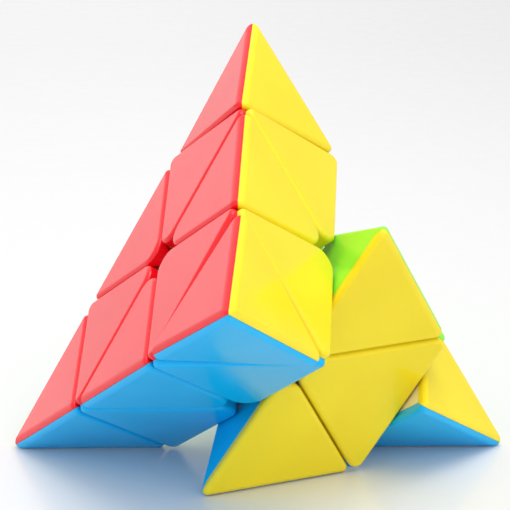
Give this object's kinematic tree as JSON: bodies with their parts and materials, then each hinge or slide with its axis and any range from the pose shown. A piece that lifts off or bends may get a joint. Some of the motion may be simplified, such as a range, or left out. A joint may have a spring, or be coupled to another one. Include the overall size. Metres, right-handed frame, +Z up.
{
  "type": "pyramid twisty puzzle",
  "caption": "Three-row pyramid twisty puzzle in four coloured plastics, standing on two tips and a corner of its half-turned right layer.",
  "frame": {"origin": "on the table, under the middle of the puzzle's bounding box, in the pose it stands in", "axes": "+X from the left tip to the right tip, +Z up from the table, -Y towards the viewer, where the front corner points"},
  "size_m": [0.098, 0.0948, 0.0815],
  "materials": {
    "red_plastic": "smooth moulded gloss",
    "yellow_plastic": "smooth moulded gloss",
    "blue_plastic": "smooth moulded gloss",
    "green_plastic": "smooth moulded gloss",
    "natural_plastic": "plain moulded, off-white",
    "core_plastic": "plain moulded, dark",
    "steel": "plated"
  },
  "bodies": {
    "root": {"core": "core_plastic", "screw_top": "steel", "spring_top": "steel", "corner_top_cap_yellow": "yellow_plastic", "corner_top_cap_green": "green_plastic", "corner_top_cap_red": "red_plastic", "corner_top_body": "natural_plastic", "screw_left": "steel", "spring_left": "steel", "corner_left_cap_blue": "blue_plastic", "corner_left_cap_green": "green_plastic", "corner_left_cap_red": "red_plastic", "corner_left_body": "natural_plastic", "screw_front": "steel", "spring_front": "steel", "corner_front_cap_blue": "blue_plastic", "corner_front_cap_yellow": "yellow_plastic", "corner_front_cap_red": "red_plastic", "corner_front_body": "natural_plastic", "screw_right": "steel", "spring_right": "steel", "edge_top_left_body": "green_plastic", "edge_top_left_cap": "red_plastic", "edge_top_left_foot": "natural_plastic", "edge_top_front_body": "red_plastic", "edge_top_front_cap": "yellow_plastic", "edge_top_front_foot": "natural_plastic", "edge_left_front_body": "blue_plastic", "edge_left_front_cap": "red_plastic", "edge_left_front_foot": "natural_plastic"},
    "layer_right": {"corner_right_cap_blue": "blue_plastic", "corner_right_cap_yellow": "yellow_plastic", "corner_right_cap_green": "green_plastic", "corner_right_body": "natural_plastic", "edge_top_right_body": "green_plastic", "edge_top_right_cap": "yellow_plastic", "edge_top_right_foot": "natural_plastic", "edge_front_right_body": "blue_plastic", "edge_front_right_cap": "yellow_plastic", "edge_front_right_foot": "natural_plastic", "edge_left_right_body": "blue_plastic", "edge_left_right_cap": "green_plastic", "edge_left_right_foot": "natural_plastic"},
    "tip_top": {"tip_top_cap_yellow": "yellow_plastic", "tip_top_cap_green": "green_plastic", "tip_top_cap_red": "red_plastic", "tip_top_base": "natural_plastic"},
    "tip_left": {"tip_left_cap_blue": "blue_plastic", "tip_left_cap_green": "green_plastic", "tip_left_cap_red": "red_plastic", "tip_left_base": "natural_plastic"},
    "tip_front": {"tip_front_cap_blue": "blue_plastic", "tip_front_cap_yellow": "yellow_plastic", "tip_front_cap_red": "red_plastic", "tip_front_base": "natural_plastic"},
    "tip_right": {"tip_right_cap_blue": "blue_plastic", "tip_right_cap_yellow": "yellow_plastic", "tip_right_cap_green": "green_plastic", "tip_right_base": "natural_plastic"}
  },
  "joints": [
    {"name": "layer_right_turn", "type": "hinge", "parent": "root", "child": "layer_right", "pos_m": [0, 0.00984, 0.0331], "axis": [0.8165, 0.185, -0.5469], "continuous": true},
    {"name": "tip_top_turn", "type": "hinge", "parent": "root", "child": "tip_top", "pos_m": [0, 0.00984, 0.0331], "axis": [0, 0.5885, 0.8085], "continuous": true},
    {"name": "tip_left_turn", "type": "hinge", "parent": "root", "child": "tip_left", "pos_m": [0, 0.00984, 0.0331], "axis": [-0.8165, 0.185, -0.5469], "continuous": true},
    {"name": "tip_front_turn", "type": "hinge", "parent": "root", "child": "tip_front", "pos_m": [0, 0.00984, 0.0331], "axis": [0, -0.9584, 0.2853], "continuous": true},
    {"name": "tip_right_turn", "type": "hinge", "parent": "layer_right", "child": "tip_right", "pos_m": [0, 0.00984, 0.0331], "axis": [0.8165, 0.185, -0.5469], "continuous": true}
  ]
}
